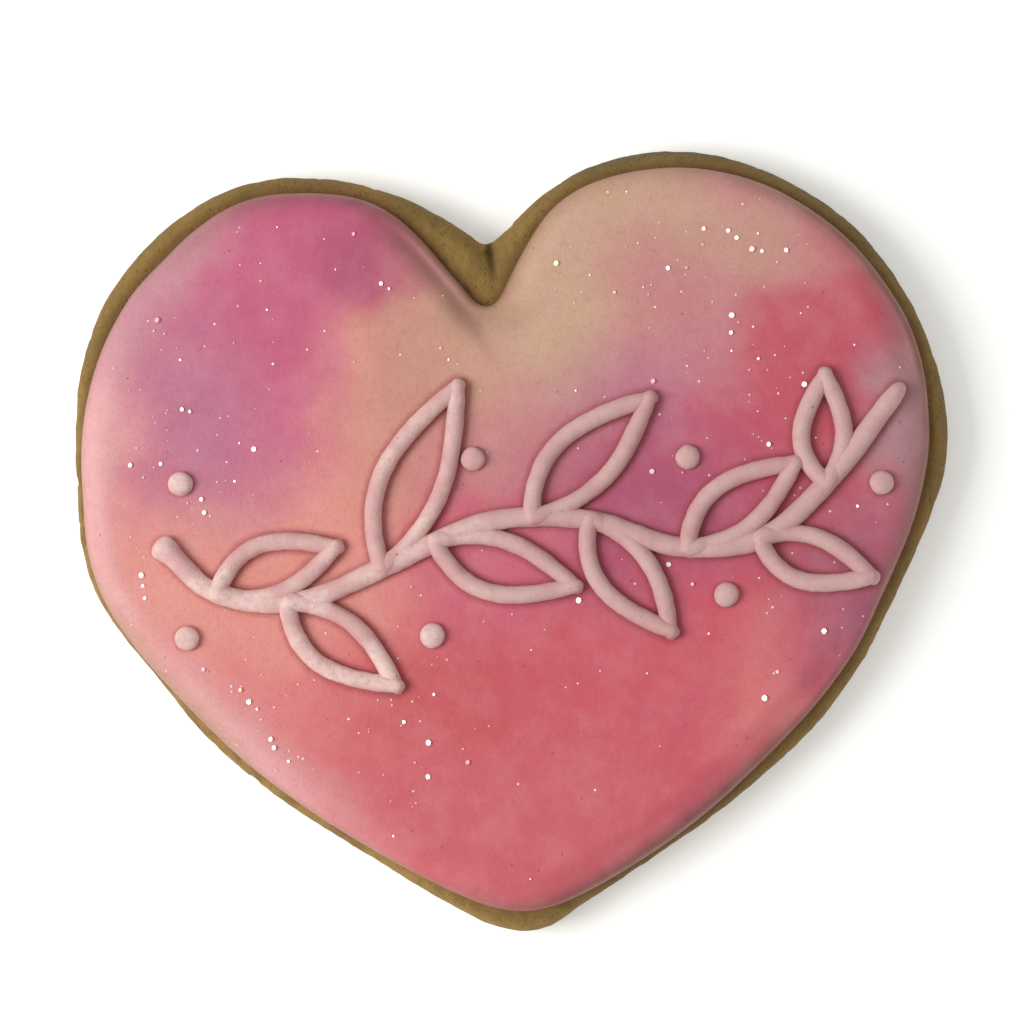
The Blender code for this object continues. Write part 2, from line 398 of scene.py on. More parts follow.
class Graph:
    """The node tree of one material, with a Principled shader at its end."""

    def __init__(self, name: str) -> None:
        """Start an empty material.

        Args:
            name: The material's name.
        """
        self.material = bpy.data.materials.new(name)
        self.material.use_nodes = True
        self.tree = self.material.node_tree
        self.tree.nodes.clear()

    def node(self, kind: str, settings: dict | None = None,
             sockets: dict | None = None) -> bpy.types.Node:
        """Add a node.

        Args:
            kind: Its type, without the ShaderNode in front.
            settings: Properties, which are set first.
            sockets: Values or links, by the inputs' identifiers.

        Returns:
            The node.
        """
        made = self.tree.nodes.new("ShaderNode" + kind)
        for name, value in (settings or {}).items():
            setattr(made, name, value)
        inputs = {socket.identifier: socket for socket in made.inputs}
        for name, value in (sockets or {}).items():
            if isinstance(value, Value):
                value = value.socket
            if isinstance(value, bpy.types.NodeSocket):
                self.tree.links.new(value, inputs[name])
            elif inputs[name].type == "RGBA" and len(value) == 3:
                inputs[name].default_value = (*value, 1.0)
            else:
                inputs[name].default_value = value
        return made

    def math(self, operation: str, *values: Number) -> Value:
        """Add a Math node on one or two values."""
        made = self.node("Math", {"operation": operation},
                         dict(zip(("Value", "Value_001"), values)))
        return Value(self, made.outputs[0])

    def vector(self, operation: str, first: object, second: object) -> bpy.types.NodeSocket:
        """Add a Vector Math node on two vectors."""
        made = self.node("VectorMath", {"operation": operation},
                         {"Vector": first, "Vector_001": second})
        return made.outputs["Vector"]

    def mix(self, share: Number, under: Paint, over: Paint) -> bpy.types.NodeSocket:
        """Lay one colour over another.

        Args:
            share: How much of the upper colour shows.
            under: The lower colour.
            over: The upper colour.

        Returns:
            The colour socket.
        """
        made = self.node("Mix", {"data_type": "RGBA"},
                         {"Factor_Float": share, "A_Color": under, "B_Color": over})
        return next(socket for socket in made.outputs if socket.identifier == "Result_Color")

    def place(self) -> bpy.types.NodeSocket:
        """Return the place on the piece, in metres."""
        return self.node("TexCoord").outputs["Object"]

    def along(self, place: bpy.types.NodeSocket, direction: Colour) -> Value:
        """Return how far a place lies along a direction, in mm."""
        dot = self.node("VectorMath", {"operation": "DOT_PRODUCT"},
                        {"Vector": place, "Vector_001": direction})
        return Value(self, dot.outputs["Value"]) * (1.0 / MM)

    def mark(self, name: str) -> Value:
        """Return a number that the mesh carries at its points."""
        return Value(self, self.node("Attribute", {"attribute_name": name}).outputs["Fac"])

    def noise(self, place: bpy.types.NodeSocket, size: float, detail: float = 2.0,
              roughness: float = 0.5) -> Value:
        """Return noise from 0 to 1, with blobs of about a size in mm."""
        made = self.node("TexNoise", None, {"Vector": place, "Scale": 1.0 / (size * MM),
                                            "Detail": detail, "Roughness": roughness})
        return Value(self, made.outputs["Fac"])

    def grains(self, place: bpy.types.NodeSocket, size: float) -> Value:
        """Return the distance from the nearest of scattered grains, 0 at one, about 1 between."""
        made = self.node("TexVoronoi", {"feature": "F1"},
                         {"Vector": place, "Scale": 1.0 / (size * MM), "Randomness": 1.0})
        return Value(self, made.outputs["Distance"])

    def ease(self, value: Number, low: float, high: float, start: float = 0.0,
             end: float = 1.0) -> Value:
        """Go smoothly from start, where the value is low, to end, where it is high."""
        made = self.node("MapRange", {"interpolation_type": "SMOOTHSTEP"},
                         {"Value": value, "From Min": low, "From Max": high,
                          "To Min": start, "To Max": end})
        return Value(self, made.outputs["Result"])

    def bump(self, height: Number, depth: float) -> bpy.types.NodeSocket:
        """Return the normal of a relief whose height 1 stands depth mm proud."""
        made = self.node("Bump", None, {"Strength": 1.0, "Distance": depth * MM, "Height": height})
        return made.outputs["Normal"]

    def finish(self, **sockets: object) -> bpy.types.Material:
        """End the graph in a Principled shader.

        Args:
            **sockets: Values or links of the shader's inputs, by name with _ for a space.

        Returns:
            The material.
        """
        named = {name.replace("_", " "): value for name, value in sockets.items()}
        shader = self.node("BsdfPrincipled", None, named)
        self.node("OutputMaterial", None, {"Surface": shader.outputs["BSDF"]})
        return self.material


# ---------------------------------------------------------------------------------------------
# Finishes
# ---------------------------------------------------------------------------------------------

@dataclass(frozen=True)
class BakedDough:
    """Sugar dough baked pale: golden wall, browner edge and foot, fine open crumb, with painted
    shade by the icing, in the fold, in the pits and on the far rim, and painted light on the near
    rim.
    """

    crumb: Colour = srgb(134, 108, 58)
    golden: Colour = srgb(152, 122, 68)
    painted_light_gold: Colour = srgb(176, 140, 82)
    toasted: Colour = srgb(106, 78, 38)
    browning_and_pit_shade: Colour = srgb(98, 62, 28)
    edge_shade: Colour = srgb(98, 62, 36)
    crease_shade: Colour = srgb(66, 44, 18)
    shaded: Colour = srgb(84, 80, 62)
    roughness: float = 0.82

    def material(self) -> bpy.types.Material:
        """Build the material, which reads the marks "height" and "from_icing" in mm, and "fold"."""
        graph = Graph("baked_dough")
        place = graph.place()
        height, gap = graph.mark("height"), graph.mark("from_icing")
        patches = graph.noise(place, 7.0, 3.0)
        fine = graph.noise(place, 0.55, 3.0, 0.6)
        colour = graph.mix(graph.ease(patches, 0.35, 0.7), self.crumb, self.golden)
        colour = graph.mix(graph.ease(fine, 0.3, 0.75, 0.0, 0.35), colour, self.toasted)
        colour = graph.mix(graph.ease(height, 2.6, 0.0, 0.0, 0.75), colour, self.browning_and_pit_shade)
        # Painted shade beside the icing's edge: the biscuit's top darkens there, as in the icing's
        # shadow.
        colour = graph.mix(graph.ease(gap, 1.6, 0.0, 0.0, 0.6), colour, self.edge_shade)
        # The pits are painted darker: painted shade in the crumb's hollows.
        pits = graph.grains(place, 0.8)
        colour = graph.mix(graph.ease(pits, 0.22, 0.08, 0.0, 0.25), colour, self.browning_and_pit_shade)
        aloft = graph.ease(height, 0.2, 1.4)
        # Painted shade: the rim and wall on the far, upper right side darken, as if turned from the
        # light.
        far = graph.ease(graph.along(place, (0.6, 0.8, 0.0)), 24.0, 42.0, 0.0, 0.55) * aloft
        colour = graph.mix(far * graph.ease(gap, 0.5, 2.2), colour, self.shaded)
        # Painted light: blotches of lighter gold on the near, lower left rim, which faces the key
        # light.
        near = graph.ease(graph.along(place, (-0.75, -0.66, 0.0)), 16.0, 34.0, 0.0, 0.6) * aloft
        blotches = graph.ease(graph.noise(place, 2.4, 3.0), 0.35, 0.6, 0.3, 1.0)
        colour = graph.mix(near * blotches, colour, self.painted_light_gold)
        # Painted shade along the fold below the notch.
        colour = graph.mix(graph.mark("fold"), colour, self.crease_shade)
        relief = fine + 0.8 * graph.noise(place, 0.2, 2.0) + graph.ease(pits, 0.05, 0.3, 0.0, 0.8)
        rough = graph.ease(patches, 0.2, 0.8, self.roughness - 0.06, self.roughness + 0.1)
        return graph.finish(Base_Color=colour, Roughness=rough, Normal=graph.bump(relief, 0.11),
                            Specular_IOR_Level=0.25, Subsurface_Weight=0.0)


class Tint(Enum):
    """Colours of the wash, as screen steps from 0 to 255: food colours, and tones that paint shade
    and light on the rims and by the notch.
    """

    ROSE = (205, 90, 104)
    SALMON = (206, 98, 106)
    CORAL = (218, 120, 120)
    RED = (200, 86, 92)
    CRIMSON = (198, 88, 104)
    PINK = (206, 105, 124)
    PEACH = (225, 148, 136)
    TAN = (202, 145, 126)
    CREAM = (204, 165, 138)
    DUSK = (200, 134, 134)
    MAGENTA = (195, 90, 124)
    ORCHID = (203, 104, 134)
    LILAC = (186, 114, 142)
    PLUM = (179, 85, 115)
    MAUVE = (170, 96, 118)
    BLUSH = (224, 165, 164)
    HAZE = (178, 138, 144)
    SHADE = (128, 78, 80)
    PETAL = (199, 142, 152)
    TAUPE = (150, 108, 100)
    OLIVE_TAN = (172, 136, 108)


@dataclass(frozen=True)
class Dab:
    """One soft oval of colour in the wash.

    Attributes:
        x: Middle in mm.
        y: Middle in mm.
        length: Half length in mm.
        width: Half width in mm.
        turn: Turn of the length in degrees.
        soft: Half of the fading band, as a share of the oval.
        tint: Its colour.
        strength: How much of it shows in the middle.
        rim: How far in from the icing's edge it reaches in mm, or 0 for everywhere.
    """

    x: float
    y: float
    length: float
    width: float
    turn: float
    soft: float
    tint: Tint
    strength: float = 1.0
    rim: float = 0.0


WASH = (
    Dab(-24, -12, 16, 11, -25, 0.7, Tint.CORAL),
    Dab(-6, -15, 12, 8, 10, 0.7, Tint.RED),
    Dab(12, -14, 14, 10, 0, 0.7, Tint.ROSE),
    Dab(-4, -29, 18, 8, 0, 0.6, Tint.SALMON),
    Dab(25, -17, 4, 8, -10, 0.8, Tint.CORAL, 0.8),
    Dab(0, -37, 14, 4, 0, 0.8, Tint.SALMON),
    Dab(-33, 0, 13, 10, 0, 0.7, Tint.PEACH),
    Dab(-20, 0, 10, 9, 0, 0.7, Tint.PEACH),
    Dab(-16, 15, 9, 13, -15, 0.6, Tint.PEACH),
    Dab(-7, 21, 7, 15, -20, 0.6, Tint.TAN),
    Dab(-22, 34, 13, 9, 10, 0.5, Tint.MAGENTA),
    # Painted shade: darker plum on the notch's left flank.
    Dab(-13, 31, 5, 4, -45, 0.7, Tint.PLUM, 0.9),
    Dab(-30, 27, 9, 11, 30, 0.7, Tint.ORCHID),
    Dab(-25, 17, 7, 9, 25, 0.6, Tint.ORCHID),
    Dab(-24, 24, 5, 7, 20, 0.7, Tint.MAGENTA, 0.7),
    Dab(-33, 15, 7, 10, 15, 0.8, Tint.LILAC, 0.9),
    # Paler by the left edge: partly the icing's own paler edge, partly painted light on the side
    # facing the key.
    Dab(-44, 16, 5, 10, -8, 0.8, Tint.BLUSH),
    Dab(7, 24, 10, 14, -25, 0.6, Tint.CREAM),
    Dab(14, 34, 18, 6, 8, 0.6, Tint.CREAM),
    Dab(22, 27, 9, 6, -15, 0.7, Tint.DUSK),
    Dab(19, 20, 6, 6, 0, 0.8, Tint.DUSK, 0.9),
    Dab(35, 13, 9, 12, 10, 0.5, Tint.CRIMSON),
    Dab(28, 32, 9, 5, -40, 0.6, Tint.DUSK),
    Dab(23, 31, 9, 4.5, -15, 0.7, Tint.CREAM, 0.55),
    Dab(31, 5, 8, 10, 0, 0.6, Tint.CRIMSON),
    Dab(12, 13, 9, 6, 15, 0.8, Tint.LILAC, 0.8),
    Dab(0, 9, 9, 5, 0, 0.8, Tint.DUSK),
    Dab(14, 2, 13, 8, 5, 0.7, Tint.PLUM),
    Dab(-3, -2, 8, 6, 0, 0.8, Tint.PINK),
    Dab(35, -7, 6, 8, -20, 0.8, Tint.MAUVE, 0.9),
    # Painted shade: a grey haze by the right edge, which faces away from the light.
    Dab(42, 10, 5, 10, 0, 0.6, Tint.HAZE, 0.9),
)

# Dabs that reach in only from the icing's edge. SHADE, TAUPE, OLIVE_TAN and MAUVE here are painted
# shade on the rims turned from the light and by the notch; BLUSH and PETAL on the left are partly
# the icing's own paler edge, partly painted light.
RIM = (
    Dab(-46, 6, 7, 26, 0, 0.5, Tint.BLUSH, 0.9, 5.5),
    Dab(-33, -19, 17, 9, -40, 0.6, Tint.BLUSH, 0.9, 7.0),
    Dab(-38, -10, 12, 5, -52, 0.6, Tint.OLIVE_TAN, 0.5, 2.6),
    Dab(-37, 29, 11, 6, 45, 0.5, Tint.PETAL, 0.85, 8.0),
    Dab(-29, 37, 9, 6, 30, 0.7, Tint.TAUPE, 0.45, 3.5),
    Dab(-18, 39, 10, 4, 0, 0.6, Tint.SHADE, 0.4, 2.4),
    Dab(32, 32, 16, 6, -45, 0.6, Tint.TAUPE, 0.55, 2.4),
    Dab(10, 37, 12, 4, 15, 0.6, Tint.OLIVE_TAN, 0.6, 2.5),
    Dab(43, 10, 8, 20, 0, 0.5, Tint.TAUPE, 0.6, 2.6),
    Dab(40, 25, 12, 5, -58, 0.6, Tint.SHADE, 0.8, 1.1),
    Dab(35, -14, 11, 6, 55, 0.6, Tint.MAUVE, 0.3, 2.0),
    Dab(15, -33, 21, 7, 36, 0.6, Tint.SHADE, 0.9, 2.2),
    Dab(-2, -39, 10, 4, 0, 0.6, Tint.SHADE, 0.35, 2.0),
    Dab(-9, 34, 9, 5, -45, 0.6, Tint.SHADE, 0.5, 2.4),
    Dab(-1.5, 22.5, 6, 5, 0, 0.6, Tint.OLIVE_TAN, 0.7, 6.0),
    Dab(4, 31, 3, 9, -30, 0.6, Tint.OLIVE_TAN, 0.6, 2.2),
)


@dataclass(frozen=True)
class WashedIcing:
    """Set flood icing with soft clouds of food colour, satin, with a fine dry grain, and painted
    shade and light on its rims, in its valley and round the piping.
    """

    ground: Tint = Tint.ROSE
    pale: Colour = srgb(236, 190, 190)
    deep: Colour = srgb(150, 70, 90)
    bleed_and_shadow: Colour = srgb(156, 64, 66)
    edge_shade: Colour = srgb(140, 100, 72)
    shaded: Colour = srgb(146, 98, 96)
    speck: Colour = srgb(90, 40, 40)
    roughness: float = 0.46

    def clouds(self, graph: Graph, place: bpy.types.NodeSocket,
               edge: Value) -> bpy.types.NodeSocket:
        """Lay the dabs over each other on a place that two noises push about.

        Args:
            graph: The material's graph.
            place: The place on the icing.
            edge: Distance from the icing's edge in mm.

        Returns:
            The colour socket.
        """
        flat = graph.vector("MULTIPLY", place, (1.0, 1.0, 0.0))
        for size, reach in ((9.0, 4.2), (3.0, 1.4)):
            wander = graph.node("TexNoise", None, {"Vector": flat, "Scale": 1.0 / (size * MM),
                                                   "Detail": 2.0}).outputs["Color"]
            shift = graph.vector("SUBTRACT", wander, (0.5, 0.5, 0.5))
            shift = graph.vector("MULTIPLY", shift, (2 * reach * MM, 2 * reach * MM, 0.0))
            flat = graph.vector("ADD", flat, shift)
        colour = srgb(*self.ground.value)
        for dab in WASH + RIM:
            local = graph.node("Mapping", {"vector_type": "TEXTURE"}, {
                "Vector": flat, "Location": (dab.x * MM, dab.y * MM, 0.0),
                "Rotation": (0.0, 0.0, math.radians(dab.turn)),
                "Scale": (dab.length * MM, dab.width * MM, 1.0)}).outputs["Vector"]
            reach = graph.node("VectorMath", {"operation": "LENGTH"}, {"Vector": local})
            share = graph.ease(Value(graph, reach.outputs["Value"]), 1.0 + dab.soft,
                               1.0 - dab.soft, 0.0, dab.strength)
            if dab.rim:
                share = share * graph.ease(edge, dab.rim, 0.2 * dab.rim)
            colour = graph.mix(share, colour, srgb(*dab.tint.value))
        return colour

    def material(self) -> bpy.types.Material:
        """Build the material.

        It reads the marks "from_edge" and "from_piping" in mm, and "valley", a share.
        """
        graph = Graph("washed_icing")
        place = graph.place()
        edge = graph.mark("from_edge")
        colour = self.clouds(graph, place, edge)
        colour = graph.mix(graph.ease(graph.noise(place, 3.4, 4.0, 0.6), 0.35, 0.72, 0.0, 0.1),
                           colour, self.pale)
        colour = graph.mix(graph.ease(graph.noise(place, 0.32, 2.0), 0.42, 0.72, 0.0, 0.11),
                           colour, self.deep)
        colour = graph.mix(graph.ease(graph.noise(place, 1.1, 3.0, 0.6), 0.5, 0.75, 0.0, 0.12),
                           colour, self.deep)
        colour = graph.mix(graph.mark("valley") * 0.6, colour, self.shaded)
        colour = graph.mix(graph.ease(graph.grains(place, 2.4), 0.06, 0.03, 0.0, 0.55),
                           colour, self.speck)
        # Redder and darker round the piping: partly food colour bled from the piped lines, partly
        # painted shadow that the lines cast.
        ragged = graph.mark("from_piping") + 0.5 * (graph.noise(place, 0.5, 2.0) - 0.5)
        colour = graph.mix(graph.ease(ragged, 1.75, 0.9, 0.0, 0.55), colour, self.bleed_and_shadow)
        # Painted shade on the icing's outermost millimetre, its steep edge.
        colour = graph.mix(graph.ease(edge, 0.9, 0.0, 0.0, 0.55), colour, self.edge_shade)
        relief = graph.noise(place, 0.3, 3.0, 0.6) + 1.4 * graph.noise(place, 1.6, 2.0)
        rough = graph.ease(graph.noise(place, 5.0), 0.3, 0.7, self.roughness - 0.05,
                           self.roughness + 0.07)
        return graph.finish(Base_Color=colour, Roughness=rough, Normal=graph.bump(relief, 0.035),
                            Specular_IOR_Level=0.3)


@dataclass(frozen=True)
class PipedIcing:
    """Stiff icing pressed from a nozzle: pale pinkish white, dry and nearly matte, painted greyer
    towards the right and darker in its pits as shade.
    """

    body: Colour = srgb(234, 202, 194)
    tinted: Colour = srgb(212, 162, 160)
    greyed: Colour = srgb(192, 148, 146)
    speck: Colour = srgb(120, 70, 66)
    roughness: float = 0.62

    def material(self) -> bpy.types.Material:
        """Build the material from noises on the place."""
        graph = Graph("piped_icing")
        place = graph.place()
        colour = graph.mix(graph.ease(graph.noise(place, 4.0, 3.0), 0.35, 0.7),
                           self.body, self.tinted)
        # Painted shade: the piping greys towards the right, away from the key light.
        right = graph.ease(graph.along(place, (1.0, 0.0, 0.0)), -14.0, 4.0, 0.0, 0.6)
        colour = graph.mix(right, colour, self.greyed)
        colour = graph.mix(graph.ease(graph.noise(place, 0.7, 3.0, 0.65), 0.42, 0.62, 0.0, 0.4),
                           colour, self.tinted)
        colour = graph.mix(graph.ease(graph.noise(place, 0.45, 2.0), 0.52, 0.75, 0.0, 0.3),
                           colour, self.greyed)
        # The pits are painted darker: painted shade in their hollows.
        pits = graph.grains(place, 0.9)
        colour = graph.mix(graph.ease(pits, 0.12, 0.04, 0.0, 0.5), colour, self.tinted)
        colour = graph.mix(graph.ease(graph.grains(place, 3.1), 0.05, 0.03, 0.0, 0.6),
                           colour, self.speck)
        relief = graph.noise(place, 0.22, 3.0, 0.6) + graph.ease(pits, 0.04, 0.16, 0.0, 0.9)
        rough = graph.ease(graph.noise(place, 1.5), 0.3, 0.7, self.roughness - 0.06,
                           self.roughness + 0.08)
        return graph.finish(Base_Color=colour, Roughness=rough, Normal=graph.bump(relief, 0.05),
                            Specular_IOR_Level=0.35)


@dataclass(frozen=True)
class GlitterFilm:
    """Cut pearl film: a thin mirror tinted by the flake's own colour."""

    roughness: float = 0.22

    def material(self) -> bpy.types.Material:
        """Build the material, which reads the mark "film", a colour."""
        graph = Graph("glitter_film")
        film = graph.node("Attribute", {"attribute_name": "film"}).outputs["Color"]
        cloudy = graph.noise(graph.place(), 0.4)
        rough = graph.ease(cloudy, 0.3, 0.7, self.roughness - 0.06, self.roughness + 0.08)
        return graph.finish(Base_Color=film, Roughness=rough, Metallic=0.2,
                            Normal=graph.bump(cloudy, 0.01))


@dataclass(frozen=True)
class PaleFloor:
    """Plain pale light table under the cookie."""

    colour: Colour = srgb(252, 252, 249)
    glow: float = 0.26
    roughness: float = 0.7

    def material(self) -> bpy.types.Material:
        """Build the material with a hardly visible mottling, and a faint light from below."""
        graph = Graph("pale_floor")
        tone = graph.ease(graph.noise(graph.place(), 60.0), 0.3, 0.7, 0.0, 0.02)
        colour = graph.mix(tone, self.colour, srgb(235, 235, 232))
        return graph.finish(Base_Color=colour, Roughness=self.roughness, Specular_IOR_Level=0.1,
                            Emission_Color=self.colour, Emission_Strength=self.glow)


# ---------------------------------------------------------------------------------------------
# Biscuit
# ---------------------------------------------------------------------------------------------

@dataclass
class Biscuit:
    """The baked heart under the icing."""

    outline: Outline = Outline((
        (-0.8, 31.9, 2), (0.6, 32.6, 42),
        (6.0, 37.0, 33), (18.0, 40.1, -1), (35.6, 32.8, -40), (43.0, 22.3, -66),
        (45.9, 9.0, -92), (38.0, -10.3, -119), (32.5, -18.3, -132), (5.0, -37.6, -152),
        (-1.6, -40.4, 178),
        (-10.0, -36.7, 147), (-28.2, -23.5, 141), (-39.2, -10.7, 125), (-45.0, -0.5, 107),
        (-45.9, 9.0, 90), (-40.4, 30.4, 52), (-22.0, 40.4, 0), (-2.6, 33.0, -39)))
    height: float = 6.6
    edge_width: float = 2.4
    edge_drop: float = 2.9
    foot: float = 0.7
    fold_depth: float = 1.4
    fold_reach: float = 2.4
    wobble: float = 0.12
    finish: BakedDough = field(default_factory=BakedDough)

    def top(self, inset: np.ndarray) -> np.ndarray:
        """Return the upper side's height: a quarter of an ellipse by the edge, then flat."""
        across = np.clip(1.0 - inset / self.edge_width, 0.0, 1.0)
        return self.height - self.edge_drop * (1.0 - np.sqrt(1.0 - across**2))

    def beside_fold(self, places: np.ndarray) -> np.ndarray:
        """Return how far places are from the fold's line, which leans a little to the left."""
        return np.abs(places[..., 0] + 0.3 + 0.1 * (places[..., 1] - 29.0))

    def crease(self, places: np.ndarray) -> np.ndarray:
        """Return the depth of the fold below the notch, where the two lobes' bevels meet.

        It is a valley with nearly straight sides, deepest by the notch and gone 8 mm below it.
        """
        fold = np.clip(1.0 - self.beside_fold(places) / self.fold_reach, 0.0, 1.0) ** 1.4
        return self.fold_depth * fold * ease(places[..., 1], 25.0, 33.0)

    def top_at(self, places: np.ndarray) -> np.ndarray:
        """Return the upper side's height over flat points."""
        return self.top(self.outline.distance(places)) - self.crease(places)

    def shell(self) -> np.ndarray:
        """Lay rings from the middle of the underside, out, up the wall and in over the top.

        The underside is flat, a quarter circle rounds the foot, the wall is upright, and the top
        follows the height at each ring's distance from the outline.
        """
        loop = self.outline.loop(OUTLINE_STEPS)
        shares = np.linspace(0.985, 0.015, 44)
        under = heart_rings(loop, np.linspace(self.foot, self.edge_width, 6), shares)[::-1]
        turn = np.linspace(0.0, math.pi / 2, 7)[1:-1]
        bend = heart_rings(loop, self.foot * (1.0 - np.sin(turn)), np.empty(0))
        bend_rise = self.foot * (1.0 - np.cos(turn))
        wall_rise = np.linspace(self.foot, self.height - self.edge_drop, 10)[:-1]
        wall = np.broadcast_to(loop, (len(wall_rise),) + loop.shape)
        turn = np.linspace(0.0, math.pi / 2, 14)
        insets = self.edge_width * (1.0 - np.cos(turn))
        shares = 1.0 - np.linspace(0.0, 1.0, 46)[1:-1]**1.25
        over = heart_rings(loop, insets, shares)
        inset = self.outline.distance(over)
        inset[:len(insets)] = insets[:, None]
        rise = self.top(inset) - self.crease(over) * ease(inset, 0.0, 1.2)
        return np.concatenate([raised(under, 0.0), raised(bend, bend_rise[:, None]),
                               raised(wall, wall_rise[:, None]), raised(over, rise)])

    def relief(self, places: np.ndarray, bare: np.ndarray) -> np.ndarray:
        """Return how far the crumb stands proud: broad swells, grains and open pits.

        Args:
            places: Grid points in mm.
            bare: 1 where the icing doesn't cover the biscuit, and 0 where it does.

        Returns:
            Distances along the normals in mm.
        """
        swell = self.wobble * (LatticeNoise(11, 8.0)(places) - 1.0)
        swell += 0.05 * LatticeNoise(12, 2.6)(places)
        grain = 0.045 * LatticeNoise(13, 1.0)(places) + 0.03 * LatticeNoise(14, 0.55)(places)
        pits = 0.16 * ease(LatticeNoise(15, 1.3)(places), 0.42, 0.75)
        return (swell + grain - pits) * bare

    def build(self, icing: Outline) -> bpy.types.Object:
        """Build and dress the biscuit.

        Args:
            icing: The icing's outline, inside which the top stays smooth.

        Returns:
            The piece.
        """
        grid = self.shell()
        upper = grid[..., 2] > self.height / 2
        gap = icing.distance(grid[..., :2])
        gap = np.where(icing.inside(grid[..., :2]) & upper, -gap, gap)
        bare = np.where(upper, ease(gap, -0.8, 0.2), 1.0)
        grid = grid + ring_normals(grid) * self.relief(grid, bare)[..., None]
        grid[..., 2] = np.maximum(grid[..., 2], 0.0)
        draft = MeshDraft()
        beside = np.where(grid[..., 2] > self.height / 2, gap, 9.0)
        # The fold mark is the share of painted shade along the crease below the notch.
        fold = 0.9 * ease(self.beside_fold(grid), 0.7, 0.0) * ease(grid[..., 1], 26.5, 30.0)
        draft.add_rings(grid, height=grid[..., 2], from_icing=np.abs(beside), fold=fold)
        return draft.piece("baked_biscuit", "biscuit", self.finish.material(), ("biscuit",))


# ---------------------------------------------------------------------------------------------
# Flood icing
# ---------------------------------------------------------------------------------------------

